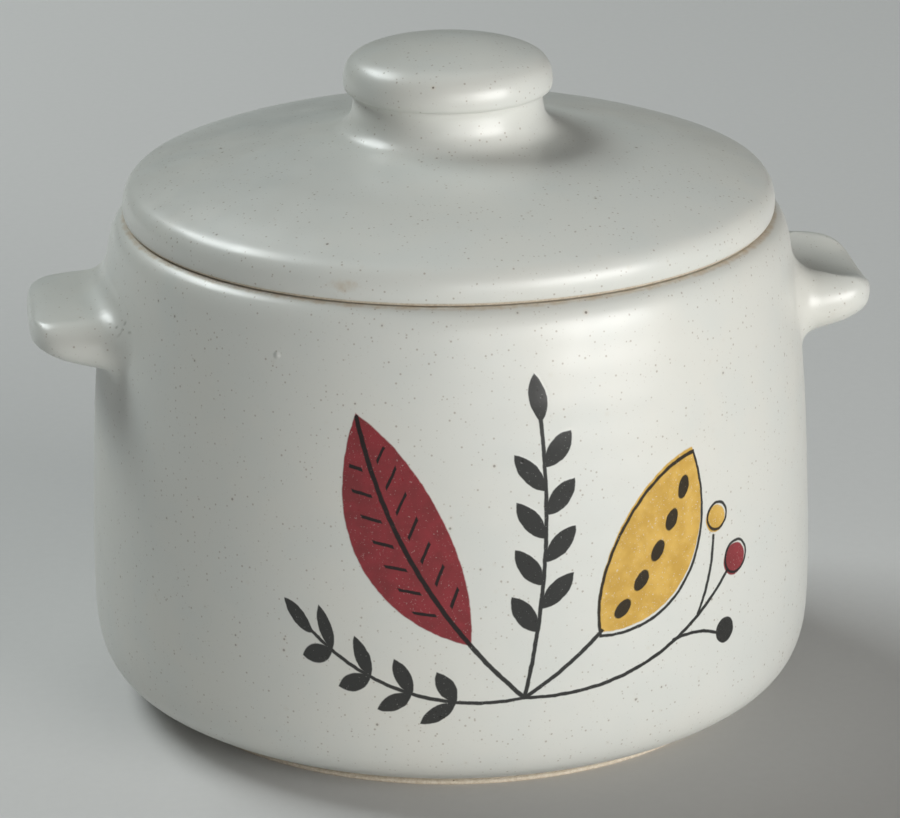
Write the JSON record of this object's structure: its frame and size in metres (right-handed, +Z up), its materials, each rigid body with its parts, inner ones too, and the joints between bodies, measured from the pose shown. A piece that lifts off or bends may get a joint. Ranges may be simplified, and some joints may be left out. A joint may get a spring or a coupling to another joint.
{
  "type": "lidded bean pot",
  "caption": "Glazed stoneware bean pot with straight barrel sides, lug handles and a lift-off domed lid with a button knob.",
  "frame": {"origin": "centre of the foot ring's flat underside, on the table", "axes": "+Z up along the axis of the pot and lid, X through the two lug handles, decorated front towards -Y"},
  "size_m": [0.2214, 0.1904, 0.1743],
  "materials": {
    "body_glaze": "satin off-white speckled glaze, bare clay on the foot ring",
    "lid_glaze": "satin off-white speckled glaze, bare clay on the seat and flange"
  },
  "bodies": {
    "pot": {"pot_body": "body_glaze", "handle_left": "body_glaze", "handle_right": "body_glaze"},
    "lid": {"lid": "lid_glaze", "lid_knob": "lid_glaze"}
  },
  "joints": [
    {"name": "lid_lift", "type": "slide", "parent": "pot", "child": "lid", "axis": [0, 0, 1], "range_m": [0, 0.2]}
  ]
}
